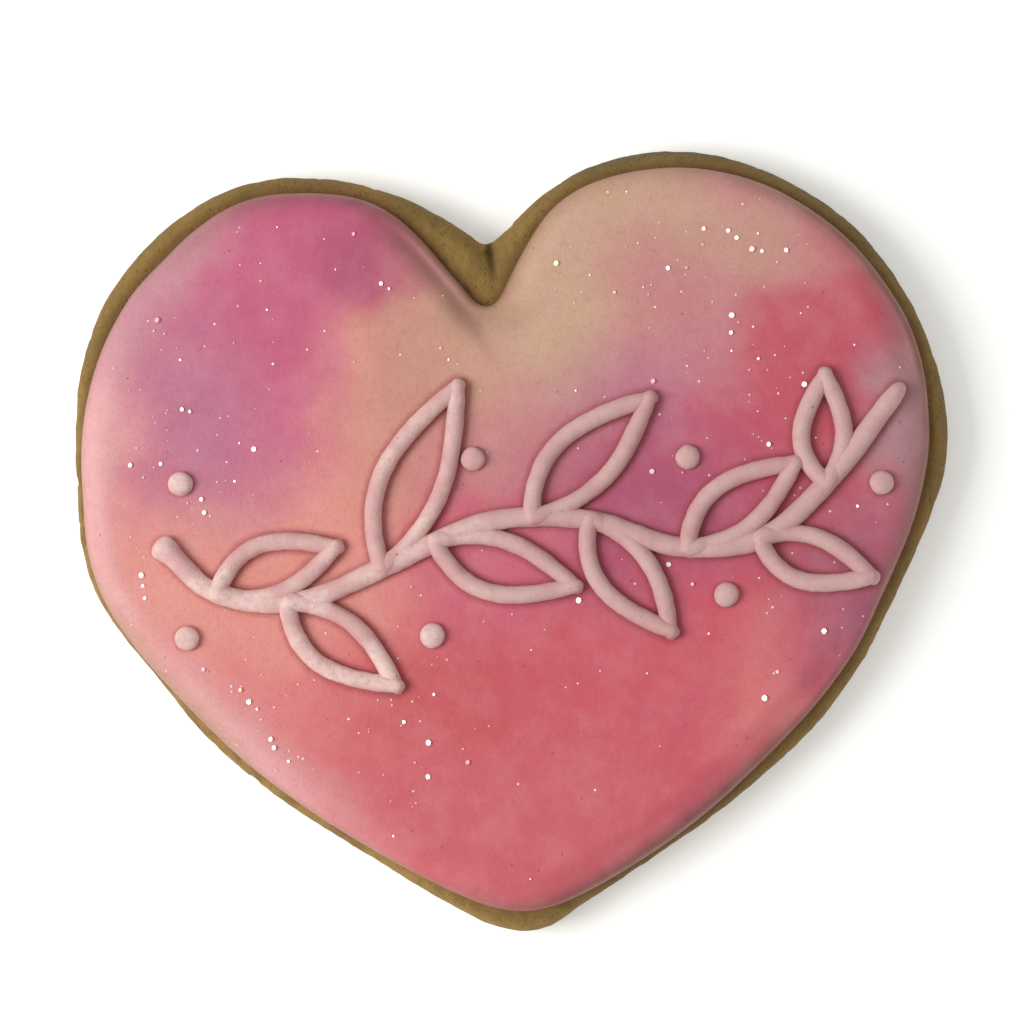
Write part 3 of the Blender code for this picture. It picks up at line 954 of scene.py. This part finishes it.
@dataclass
class FloodIcing:
    """The poured coat of icing, with its rounded shoulder."""

    biscuit: Biscuit
    outline: Outline = Outline((
        (-1.0, 24.9, 0), (1.1, 27.0, 61),
        (5.0, 33.0, 52), (18.0, 37.9, 0), (35.4, 30.5, -44), (41.7, 21.6, -63),
        (43.7, 9.0, -92), (36.0, -11.0, -119), (22.0, -26.0, -140), (5.0, -36.5, -156),
        (-1.5, -38.1, 178),
        (-10.0, -35.0, 150), (-34.5, -15.4, 130), (-44.2, 0.0, 104),
        (-44.8, 9.5, 90), (-38.7, 28.3, 53), (-33.4, 33.4, 42), (-22.0, 38.3, 0),
        (-12.0, 36.4, -29), (-3.6, 27.2, -53)))
    top: float = 8.8
    shoulder: float = 3.3
    dam_width: float = 1.0
    dam_slope: float = 3.8
    dam_places: tuple[tuple[float, float, float], ...] = (
        (16.0, -30.0, 13.0), (4.0, -36.0, 8.0), (-6.5, 29.5, 6.5), (40.0, 16.0, 9.0),
        (30.0, -19.0, 8.0))
    valley_route: tuple[Point, ...] = (
        (-14.0, 35.8), (-9.6, 32.6), (-6.0, 28.2), (-3.2, 24.0), (-1.2, 20.6), (0.4, 17.0))
    valley_width: float = 0.95
    valley_depth: float = 0.28
    sink: float = 0.06
    finish: WashedIcing = field(default_factory=WashedIcing)

    def rise(self, inset: np.ndarray, foot: np.ndarray, places: np.ndarray) -> np.ndarray:
        """Return the upper side's height.

        The shoulder is (1 - (1 - inset / width)^2.2)^(1 / 2.2) of the way from the foot to the
        top. Where the piped dam shows, a narrow shoulder of that form goes half of the way, and
        an eased slope the rest. A valley runs down from the notch, and slow swells lie over all.

        Args:
            inset: Distance from the edge in mm.
            foot: Height of the biscuit under each point in mm.
            places: The flat points in mm.

        Returns:
            Heights in mm.
        """
        round_one = (1.0 - np.clip(1.0 - inset / self.shoulder, 0.0, 1.0) ** 2.2) ** (1.0 / 2.2)
        bead = (1.0 - np.clip(1.0 - inset / self.dam_width, 0.0, 1.0) ** 2.2) ** (1.0 / 2.2)
        stepped = 0.5 * bead + 0.5 * ease(inset, 0.9 * self.dam_width, self.dam_slope)
        shown = self.dam_share(places)
        shape = round_one + (stepped - round_one) * shown
        swell = 0.05 * flat_noise(LatticeNoise(21, 13.0), places)
        swell += 0.018 * flat_noise(LatticeNoise(22, 3.5), places)
        crown = 0.12 * ease(inset, 1.0, 12.0)
        rise = foot + (self.top - 0.1 - foot) * shape
        rise -= self.valley_depth * self.valley(places) * ease(inset, 0.3, 1.2)
        return rise + (swell + crown) * ease(inset, 0.2, 2.5)

    def valley(self, places: np.ndarray) -> np.ndarray:
        """Return the share of the valley by the notch, which follows given points.

        It is a bell across the line through the points, and fades at both of the line's ends.
        """
        route = smooth_route(self.valley_route, 0.5)
        gap = np.linalg.norm(places[..., None, :] - route, axis=-1)
        nearest_step = gap.argmin(axis=-1) / (len(route) - 1.0)
        fade = ease(nearest_step, 0.0, 0.3) * ease(nearest_step, 1.0, 0.6)
        return np.exp(-(gap.min(axis=-1) / self.valley_width) ** 2) * fade

    def dam_share(self, places: np.ndarray) -> np.ndarray:
        """Return how clearly the piped dam shows, from bells round given places."""
        share = np.zeros(places.shape[:-1])
        for x, y, reach in self.dam_places:
            share += np.exp(-((places - np.array([x, y])) ** 2).sum(axis=-1) / reach**2)
        return np.clip(share, 0.0, 1.0)

    def height_at(self, places: np.ndarray) -> np.ndarray:
        """Return the upper side's height over flat points inside the outline."""
        foot = self.biscuit.top_at(places) - self.sink
        inset = np.where(self.outline.inside(places), self.outline.distance(places), 0.0)
        return self.rise(inset, foot, places)

    def build(self, clearance: FlatMap) -> bpy.types.Object:
        """Build and dress the coat: the underside lies on the biscuit, a hair below its skin.

        Args:
            clearance: Returns how far flat points are from the piping's middle lines.

        Returns:
            The piece.
        """
        loop = self.outline.loop(OUTLINE_STEPS)
        loop = loop * (1.0 + 0.0012 * flat_noise(LatticeNoise(24, 5.0), loop)[:, None])
        insets = np.concatenate([[0.0], self.shoulder * np.linspace(0.12, 1.0, 17) ** 1.8 * 1.1])
        shares = np.linspace(0.985, 0.012, 82)
        over = heart_rings(loop, insets, shares)
        inset = self.outline.distance(over)
        inset[:len(insets)] = insets[:, None]
        foot = self.biscuit.top_at(over) - self.sink
        rise = self.rise(inset, foot, over)
        under = np.r_[1:len(insets):3, len(insets):len(over):5][::-1]
        grid = np.concatenate([raised(over[under], foot[under] - self.sink), raised(over, rise)])
        draft = MeshDraft()
        draft.add_rings(grid, from_edge=np.concatenate([inset[under], inset]),
                        from_piping=clearance(grid[..., :2]), valley=self.valley(grid[..., :2]))
        return draft.piece("washed_flood_icing", "flood_icing", self.finish.material(),
                           ("flood_icing",))


# ---------------------------------------------------------------------------------------------
# Piping
# ---------------------------------------------------------------------------------------------

def smooth_route(points: tuple[Point, ...], step: float) -> np.ndarray:
    """Return even points on the Catmull-Rom curve through given points.

    On a span, the curve is half of 2b + (c - a)t + (2a - 5b + 4c - d)t^2 + (3b - 3c + d - a)t^3,
    where b and c are the span's ends and a and d their neighbours.

    Args:
        points: Places in mm.
        step: Wanted spacing in mm.

    Returns:
        Rows of x and y in mm.
    """
    line = np.array(points)
    padded = np.vstack([2 * line[0] - line[1], line, 2 * line[-1] - line[-2]])
    a, b, c, d = (padded[k:k + len(line) - 1, None] for k in range(4))
    t = np.linspace(0.0, 1.0, 40, endpoint=False)[None, :, None]
    dense = 0.5 * (2 * b + (c - a) * t + (2 * a - 5 * b + 4 * c - d) * t**2
                   + (3 * b - 3 * c + d - a) * t**3)
    return even_route(np.vstack([dense.reshape(-1, 2), line[-1:]]), step)


def even_route(line: np.ndarray, step: float) -> np.ndarray:
    """Return a line resampled to even steps of about the given length."""
    along = np.concatenate([[0.0], np.cumsum(np.linalg.norm(np.diff(line, axis=0), axis=1))])
    wanted = np.linspace(0.0, along[-1], max(3, round(along[-1] / step) + 1))
    return np.column_stack([np.interp(wanted, along, line[:, k]) for k in range(2)])


@dataclass(frozen=True)
class PipedLine:
    """One line pressed from a round nozzle.

    Attributes:
        route: Flat points in mm, from where the bag starts to where it is pulled away.
        width: Full width in mm.
        height: Full height in mm.
        seed: Picks its unevenness.
        bulb: Share by which the start is wider.
        taper: Share of the width left at the end.
        lift_start: How far the start rides up over an earlier line, in mm.
        lift_end: How far the end rides up, in mm.
    """

    route: np.ndarray
    width: float
    height: float
    seed: int
    bulb: float = 0.0
    taper: float = 1.0
    lift_start: float = 0.0
    lift_end: float = 0.0

    STEP = 0.2
    COLUMNS = 30

    def grid(self, surface: FlatMap) -> np.ndarray:
        """Carry the section along the route.

        The section is an oval cut flat where it sits: half the width times the cosine of the
        angle across, and the middle height plus the sine of the angle times the upper or lower
        half height. Round ends scale it by the root of 1 minus the square of the way left.

        Args:
            surface: Returns the icing's height under flat points.

        Returns:
            Rings, columns and x, y, z in mm.
        """
        route = even_route(self.route, self.STEP)
        start, end = route[0] - route[1], route[-1] - route[-2]
        reach = self.width * 0.5
        tail = np.linspace(1.0, 0.0, 9)[:-1, None] * reach
        route = np.vstack([route[0] + start / np.linalg.norm(start) * tail, route,
                           (route[-1] + end / np.linalg.norm(end) * tail)[::-1]])
        along = np.concatenate([[0.0], np.cumsum(np.linalg.norm(np.diff(route, axis=0), axis=1))])
        total = along[-1]
        left = np.clip(1.0 - np.minimum(along, total - along) / reach, 0.0, 0.995)
        size = np.sqrt(1.0 - left**2)
        ahead = np.gradient(route, axis=0)
        ahead /= np.linalg.norm(ahead, axis=1)[:, None]
        aside = np.column_stack([-ahead[:, 1], ahead[:, 0]])
        track = np.column_stack([along, np.full_like(along, self.seed * 7.0), np.zeros_like(along)])
        wide = 1.0 + 0.05 * LatticeNoise(31, 2.6)(track) + 0.025 * LatticeNoise(32, 0.9)(track)
        wide *= 1.0 + self.bulb * (1.0 - ease(along, 0.6, 3.4))
        wide *= self.taper + (1.0 - self.taper) * ease(total - along, 0.3, 3.2)
        tall = 1.0 + 0.06 * LatticeNoise(33, 3.2)(track) + 0.5 * (wide - 1.0)
        route = route + aside * (0.07 * LatticeNoise(34, 4.5)(track))[:, None]
        lift = self.lift_start * (1.0 - ease(along, 1.2, 3.4))
        lift += self.lift_end * ease(along, total - 3.2, total - 1.0)
        angle = np.linspace(0.0, 2.0 * math.pi, self.COLUMNS, endpoint=False)
        middle, upper, lower = 0.37 * self.height, 0.63 * self.height, 0.55 * self.height
        half = np.where(np.sin(angle) > 0, upper, lower)
        above = np.maximum(middle + half * np.sin(angle), -0.12)
        side = (size * wide)[:, None] * (0.5 * self.width * np.cos(angle))
        rise = (size * tall)[:, None] * above + (surface(route) + lift)[:, None]
        grid = raised(route[:, None] + aside[:, None] * side[..., None], rise)
        ripple = 0.028 * LatticeNoise(35, 0.8)(grid) + 0.014 * LatticeNoise(36, 0.4)(grid)
        return grid + ring_normals(grid) * (ripple * size[:, None])[..., None]


@dataclass
class Piping:
    """The sprig of leaves and its loose dots, from one nozzle.

    Attributes:
        icing: What they lie on.
        stem: Points along the stem in mm.
        leaves: For each, its place on the stem from 0 to 1, its side, length and width in mm.
        dots: The dots' middles in mm.
        width: Width of the stem's line in mm.
        height: Height of the stem's line in mm.
        leaf_line_width: Width of a leaf's line, as a share of the stem's.
        leaf_line_height: Height of a leaf's line, as a share of the stem's.
        dot_diameter: Diameter of a dot in mm.
        dot_height: Height of a dot, as a share of the stem's line.
        leaf_angle: Degrees between the stem and a leaf.
        leaf_sweep: How far a leaf bends back, as a share of its length.
        finish: What all of it is made of.
    """

    icing: FloodIcing
    stem: tuple[Point, ...] = (
        (-36.3, 2.0), (-31.0, -3.0), (-22.5, -4.5), (-12.5, -1.2), (-2.5, 2.2),
        (7.5, 1.8), (17.0, -1.8), (25.5, -1.5), (33.2, 4.3), (40.6, 12.6))
    leaves: tuple[tuple[float, int, float, float], ...] = (
        (0.08, 1, 13.0, 5.4), (0.17, -1, 14.0, 5.4), (0.29, 1, 20.0, 6.4),
        (0.37, -1, 15.0, 5.6), (0.48, 1, 17.0, 6.0), (0.56, -1, 14.0, 5.4),
        (0.67, 1, 14.0, 5.2), (0.75, -1, 12.0, 4.8), (0.87, 1, 11.0, 4.4))
    dots: tuple[Point, ...] = (
        (-34.5, -7.5), (-34.0, 8.5), (-9.0, -9.0), (-3.6, 8.8), (18.6, 7.4), (21.4, -7.0),
        (38.2, 3.2))
    width: float = 2.1
    height: float = 1.55
    leaf_line_width: float = 0.87
    leaf_line_height: float = 0.92
    dot_diameter: float = 2.5
    dot_height: float = 0.86
    leaf_angle: float = 50.0
    leaf_sweep: float = 0.12
    finish: PipedIcing = field(default_factory=PipedIcing)

    def leaf_routes(self, stem: np.ndarray, place: float, side: int, length: float,
                    width: float) -> list[np.ndarray]:
        """Return a leaf's two bowed lines, which start on the stem and meet at its point.

        The spine goes straight out at the leaf's angle and bends back by the sweep times the
        square of the way. The lines leave it to both sides by half the width times the sine of
        pi times the way to the power 0.85.

        Args:
            stem: The stem's flat points, 1.5 mm apart.
            place: Where on the stem, from 0 to 1.
            side: 1 for above and -1 for below.
            length: Length in mm.
            width: Width between the lines in mm.

        Returns:
            Two flat routes in mm.
        """
        index = round(place * (len(stem) - 1))
        heading = stem[index + 1] - stem[index - 1]
        turn = math.atan2(heading[1], heading[0]) + side * math.radians(self.leaf_angle)
        ahead = np.array([math.cos(turn), math.sin(turn)])
        aside = np.array([-ahead[1], ahead[0]])
        t = np.linspace(0.0, 1.0, 60)[:, None]
        spine = stem[index] + ahead * length * t - aside * side * self.leaf_sweep * length * t**2
        bow = aside * width / 2.0 * np.sin(math.pi * t**0.85)
        return [spine + bow, spine - bow]

    def lines(self) -> list[PipedLine]:
        """Return the stem and the leaf lines in the order they are piped."""
        stem = smooth_route(self.stem, 1.5)
        made = [PipedLine(smooth_route(self.stem, 0.5), self.width, self.height, 1, bulb=0.28,
                          taper=0.72)]
        for number, leaf in enumerate(self.leaves):
            for second, route in enumerate(self.leaf_routes(stem, *leaf)):
                made.append(PipedLine(route, self.leaf_line_width * self.width,
                                      self.leaf_line_height * self.height,
                                      2 + 2 * number + second, taper=0.8, lift_start=0.45,
                                      lift_end=0.3 * second))
        return made

    def build_sprig(self) -> bpy.types.Object:
        """Build and dress the stem and the leaves."""
        draft = MeshDraft()
        for line in self.lines():
            draft.add_rings(line.grid(self.icing.height_at))
        return draft.piece("piped_sprig_lines", "piped_icing", self.finish.material(),
                           ("piped_sprig",))

    def dot_grid(self, number: int, middle: np.ndarray) -> np.ndarray:
        """Turn a settled dome round an upright axis.

        The radius is the dot's times the cosine of the angle, and the height the sine, cut flat
        below. The top leans a little to the side that the bag left on.

        Args:
            number: Picks the unevenness.
            middle: The dot's flat place in mm.

        Returns:
            Rings, columns and x, y, z in mm.
        """
        angle = np.radians(np.concatenate([[-38.0, -38.0, -38.0], np.linspace(-36.0, 89.0, 30)]))
        radius = self.dot_diameter / 2.0
        share = np.cos(angle)
        share[:3] *= (0.05, 0.5, 0.9)
        turn = np.linspace(0.0, 2.0 * math.pi, 44, endpoint=False)
        rise = self.height * self.dot_height * ((np.sin(angle) + 0.55) / 1.55)
        lean = 0.12 * rise[:, None] * np.array([math.cos(number * 2.4), math.sin(number * 2.4)])
        circle = np.column_stack([np.cos(turn), np.sin(turn)])
        flat = middle + radius * share[:, None, None] * circle + lean[:, None]
        base = float(self.icing.height_at(middle[None])[0])
        grid = raised(flat, (rise + base - 0.05)[:, None])
        lumps = 0.1 * LatticeNoise(41 + number, 1.5)(grid) + 0.03 * LatticeNoise(51, 0.6)(grid)
        return grid + ring_normals(grid) * (lumps * share[:, None])[..., None]

    def build_dots(self) -> bpy.types.Object:
        """Build and dress the loose dots."""
        draft = MeshDraft()
        for number, dot in enumerate(self.dots):
            draft.add_rings(self.dot_grid(number, np.array(dot)))
        nodes = tuple(f"piped_dot_{number}" for number in range(1, len(self.dots) + 1))
        return draft.piece("piped_loose_dots", "piped_icing", self.finish.material(), nodes)

    def clearance(self, places: np.ndarray) -> np.ndarray:
        """Return how far flat points are from the middle of the nearest line or dot, in mm."""
        routes = [even_route(line.route, 0.4) for line in self.lines()] + [np.array(self.dots)]
        return nearest(places, np.vstack(routes))


# ---------------------------------------------------------------------------------------------
# Glitter
# ---------------------------------------------------------------------------------------------

class Film(Enum):
    """Colours of glitter film, as screen steps from 0 to 255."""

    PEARL = (252, 244, 240)
    PINK = (248, 190, 200)
    GOLD = (250, 226, 170)


@dataclass
class Glitter:
    """Edible glitter on the icing: tiny six-sided flakes, some turned to the light.

    Attributes:
        icing: What they lie on.
        piping: What they keep clear of.
        bright: Middles of the flakes turned to the light, in mm.
        clusters: For each, its middle and spread in mm, and how many flakes.
        scattered: How many more lie anywhere.
        off_edge: How far they keep from the icing's edge in mm.
        off_piping: How far they keep from the middle of a piped line in mm.
        bright_radius: Least and largest radius of a bright flake in mm.
        dim_radius: Least and largest radius of another flake in mm.
        thickness: Thickness of the film in mm.
        film_shares: Chance of each colour of film.
        finish: What they are made of.
    """

    icing: FloodIcing
    piping: Piping
    bright: tuple[Point, ...] = (
        (-28.5, -14.5), (-29.3, -13.2), (-27.7, -15.3), (-26.5, -18.5), (-26.2, -19.4),
        (-24.8, -20.9), (-33.0, -10.8), (-38.7, -1.7), (-38.8, -0.6), (-38.6, -3.0), (-32.0, 6.8),
        (-31.8, 5.4), (-36.0, 10.8), (-39.2, 10.9), (-32.6, 16.0), (-33.4, 16.3), (-35.4, 25.8),
        (-26.2, 11.6), (-28.3, -1.0), (-28.8, -3.4), (-11.8, 27.8), (-11.0, 27.2), (-14.3, 33.2),
        (-6.1, 20.6), (6.5, 28.5), (12.3, 25.0), (18.0, 27.1), (19.9, 27.0), (22.0, 30.9),
        (24.5, 30.5), (25.3, 29.7), (26.8, 28.4), (27.8, 28.1), (30.3, 28.0), (24.2, 21.7),
        (24.0, 19.9), (31.1, 14.0), (15.6, 15.5), (26.6, 17.0), (27.0, 8.1), (22.6, 4.3),
        (28.4, 4.9), (26.6, -1.0), (14.8, 6.2), (15.8, -3.5), (6.3, -6.5), (18.1, -5.7),
        (16.1, -7.7), (31.1, -7.9), (31.2, -11.5), (24.6, -17.9), (26.1, -15.3), (-9.3, -15.1),
        (-12.6, -17.7), (-10.2, -20.0), (-6.3, -22.3), (-10.5, -23.5))
    clusters: tuple[tuple[float, float, float, int], ...] = (
        (-28.0, -16.0, 4.0, 24), (-36.0, 8.0, 7.0, 34), (-32.0, 22.0, 7.0, 26),
        (24.0, 26.0, 7.0, 36), (26.0, 5.0, 8.0, 40), (32.0, -8.0, 5.0, 16),
        (-10.0, -18.0, 7.0, 22), (14.0, 10.0, 8.0, 30))
    scattered: int = 150
    off_edge: float = 0.9
    off_piping: float = 1.35
    bright_radius: Point = (0.17, 0.33)
    dim_radius: Point = (0.06, 0.15)
    thickness: float = 0.03
    film_shares: tuple[float, float, float] = (0.46, 0.4, 0.14)
    finish: GlitterFilm = field(default_factory=GlitterFilm)

    def places(self, random: np.random.Generator) -> tuple[np.ndarray, np.ndarray]:
        """Choose the flakes' places.

        Args:
            random: The source of the draws.

        Returns:
            Flat places in mm, and 1 for each bright flake and 0 for the others.
        """
        parts = [np.array(self.bright)]
        for x, y, spread, count in self.clusters:
            parts.append(np.array([x, y]) + random.normal(0.0, spread, (count, 2)))
        parts.append(random.uniform((-44.0, -38.0), (44.0, 38.0), (self.scattered, 2)))
        flat = np.vstack(parts)
        bright = np.arange(len(flat)) < len(self.bright)
        outline = self.icing.outline
        kept = outline.inside(flat) & (outline.distance(flat) > self.off_edge)
        kept &= self.piping.clearance(flat) > self.off_piping
        return flat[kept], bright[kept]

    def build(self) -> bpy.types.Object:
        """Build and dress the flakes, each a thin prism with its own tilt and film."""
        random = np.random.default_rng(61)
        flat, bright = self.places(random)
        count = len(flat)
        half = Vector(KEY_DIRECTION).normalized() + Vector((0.0, 0.0, 1.0))
        half = np.array(half.normalized())
        spin = random.uniform(0.0, 2.0 * math.pi, count)
        tilt = np.radians(random.uniform(2.0, 34.0, count))
        face = np.column_stack([np.sin(tilt) * np.cos(spin), np.sin(tilt) * np.sin(spin),
                                np.cos(tilt)])
        face = np.where(bright[:, None], half + random.normal(0.0, 0.1, (count, 3)), face)
        face /= np.linalg.norm(face, axis=1)[:, None]
        first = np.cross(face, np.array([0.0, 1.0, 0.2]))
        first /= np.linalg.norm(first, axis=1)[:, None]
        second = np.cross(face, first)
        radius = np.where(bright, random.uniform(*self.bright_radius, count),
                          random.uniform(*self.dim_radius, count))
        angle = np.linspace(0.0, 2.0 * math.pi, 6, endpoint=False)
        angle = (angle + random.uniform(0, 1, (count, 1)))[..., None]
        rim = np.cos(angle) * first[:, None] + np.sin(angle) * second[:, None]
        drop = radius * np.sqrt(1.0 - face[:, 2] ** 2)
        centre = np.column_stack([flat, self.icing.height_at(flat) + drop * 0.8 + 0.02])
        lower = centre[:, None] + rim * radius[:, None, None]
        upper = lower + face[:, None] * self.thickness
        points = np.concatenate([lower, upper], axis=1).reshape(-1, 3)
        start = np.arange(count)[:, None] * 12
        six = np.arange(6)
        sides = start[:, None] + np.stack([six, (six + 1) % 6, (six + 1) % 6 + 6, six + 6], axis=-1)
        colours = np.array([srgb(*film.value) + (1.0,) for film in Film])
        film = colours[random.choice(len(Film), count, p=self.film_shares)]
        draft = MeshDraft()
        draft.add(points, [start + six[::-1], start + six + 6, sides.reshape(-1, 4)],
                  film=np.repeat(film, 12, axis=0))
        return draft.piece("glitter_flakes", "flood_icing", self.finish.material(), smooth=False)


# ---------------------------------------------------------------------------------------------
# Stage
# ---------------------------------------------------------------------------------------------

@dataclass
class Stage:
    """Pale floor, soft light and the camera.

    Attributes:
        floor_size: Side of the floor in metres.
        world_strength: Strength of the even light from all round.
        key_power: Power of the key light in watts.
        key_size: Side of the square key light in metres.
        key_distance: How far off the key light hangs, in metres.
        distance: How far off the camera is, in metres.
        view_width: Width that the camera sees at that distance, in metres.
        target: The place in the middle of the view.
        turn: Degrees that the heart is turned anticlockwise in the view.
        lean: Degrees that the camera leans off the upright, both to the right and downwards.
    """

    floor_size: float = 6.0
    world_strength: float = 0.53
    key_power: float = 2.25
    key_size: float = 0.3
    key_distance: float = 0.58
    distance: float = 0.36
    view_width: float = 0.1063
    target: tuple[float, float, float] = (0.0, 0.0032, 0.007)
    turn: float = 4.1
    lean: float = 3.0
    finish: PaleFloor = field(default_factory=PaleFloor)

    def build_floor(self) -> None:
        """Lay a square floor under the biscuit."""
        half = self.floor_size / 2.0
        mesh = bpy.data.meshes.new("pale_floor")
        corners = [(-half, -half, 0.0), (half, -half, 0.0), (half, half, 0.0), (-half, half, 0.0)]
        mesh.from_pydata(corners, [], [(0, 1, 2, 3)])
        floor = bpy.data.objects.new("pale_floor", mesh)
        bpy.context.scene.collection.objects.link(floor)
        mesh.materials.append(self.finish.material())

    def build_light(self) -> None:
        """Set the even surrounding light and the square key light."""
        world = bpy.data.worlds.new("studio")
        world.use_nodes = True
        background = world.node_tree.nodes["Background"]
        background.inputs["Color"].default_value = (1.0, 0.995, 0.985, 1.0)
        background.inputs["Strength"].default_value = self.world_strength
        bpy.context.scene.world = world
        key = bpy.data.lights.new("key", "AREA")
        key.shape = "SQUARE"
        key.size = self.key_size
        key.energy = self.key_power
        lamp = bpy.data.objects.new("key", key)
        towards = Vector(KEY_DIRECTION).normalized()
        lamp.matrix_world = (Matrix.Translation(towards * self.key_distance)
                             @ towards.to_track_quat("Z", "Y").to_matrix().to_4x4())
        bpy.context.scene.collection.objects.link(lamp)

    def build_camera(self) -> None:
        """Place the camera almost straight above, its up a little turned."""
        spin = Matrix.Rotation(-math.radians(self.turn), 3, "Z")
        lean = math.tan(math.radians(self.lean))
        back = (spin @ Vector((lean, -lean, 1.0))).normalized()
        right = (spin @ Vector((0.0, 1.0, 0.0))).cross(back).normalized()
        up = back.cross(right)
        axes = Matrix((right, up, back)).transposed().to_4x4()
        camera = bpy.data.objects.new("camera", bpy.data.cameras.new("camera"))
        camera.data.lens = camera.data.sensor_width * self.distance / self.view_width
        camera.data.clip_start = 0.01
        camera.matrix_world = Matrix.Translation(Vector(self.target) + back * self.distance) @ axes
        bpy.context.scene.collection.objects.link(camera)
        bpy.context.scene.camera = camera

    def build(self) -> None:
        """Build the floor, the lights and the camera, with plain tones on screen."""
        self.build_floor()
        self.build_light()
        self.build_camera()
        bpy.context.scene.view_settings.view_transform = "Standard"


def main() -> None:
    """Build the stage and the pieces in order, and report each."""
    logging.basicConfig(level=logging.INFO, format="%(name)s: %(message)s")
    Stage().build()
    biscuit = Biscuit()
    icing = FloodIcing(biscuit)
    piping = Piping(icing)
    pieces = [biscuit.build(icing.outline), icing.build(piping.clearance), piping.build_sprig(),
              piping.build_dots(), Glitter(icing, piping).build()]
    for piece in pieces:
        LOG.info("%s: %d points, %d faces", piece.name, len(piece.data.vertices),
                 len(piece.data.polygons))


if __name__ == "__main__":
    main()
